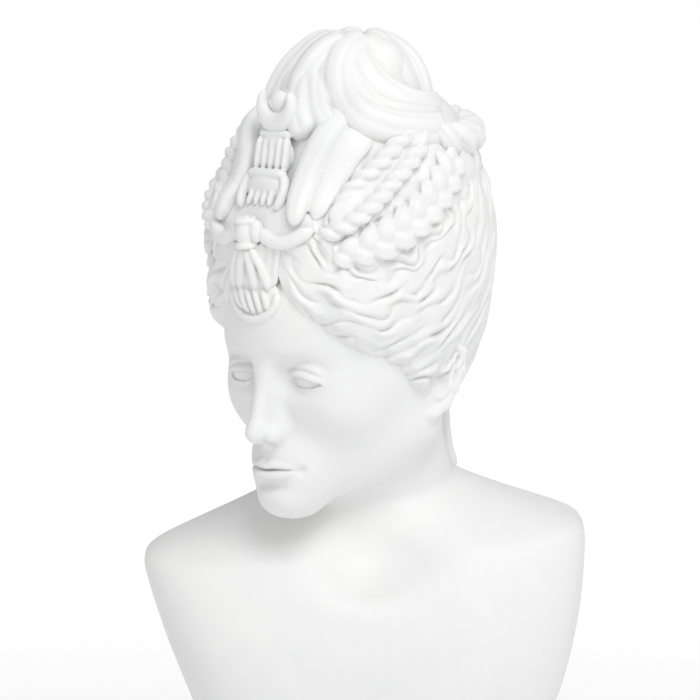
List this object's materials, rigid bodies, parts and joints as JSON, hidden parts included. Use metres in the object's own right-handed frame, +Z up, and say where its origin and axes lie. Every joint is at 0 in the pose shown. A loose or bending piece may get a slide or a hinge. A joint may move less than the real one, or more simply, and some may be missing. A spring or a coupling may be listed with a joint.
{
  "type": "marble bust",
  "caption": "Free-standing marble bust of a woman with the head turned, a piled and plaited coiffure, shoulders cut upright, on a turned socle.",
  "frame": {"origin": "centre of the felt disc's underside, the face the bust stands on", "axes": "+Z up; -Y is the front of the chest; +X is the figure's left shoulder; the head is turned to the right shoulder, towards -X"},
  "size_m": [0.199, 0.141, 0.4592],
  "materials": {
    "marble": "honed white marble, satin",
    "steel": "plain turned steel",
    "felt": "dark green wool felt"
  },
  "bodies": {
    "root": {"base_felt": "felt", "nut": "steel", "washer": "steel", "tie_rod": "steel", "socle": "marble", "torso": "marble", "neck_dowel": "steel", "head": "marble", "hair_cap": "marble", "crown_pins": "steel", "crown_block": "marble", "topknot_rolls": "marble", "back_coil": "marble", "side_braid_left": "marble", "side_braid_right": "marble", "rope_loop_left": "marble", "rope_loop_right": "marble", "front_roll_left": "marble", "front_roll_right": "marble", "comb_ornament": "marble", "crescent_ornament": "marble", "front_band": "marble", "brow_knot": "marble", "brow_pendant": "marble", "nape_ribbon": "marble"}
  },
  "joints": []
}
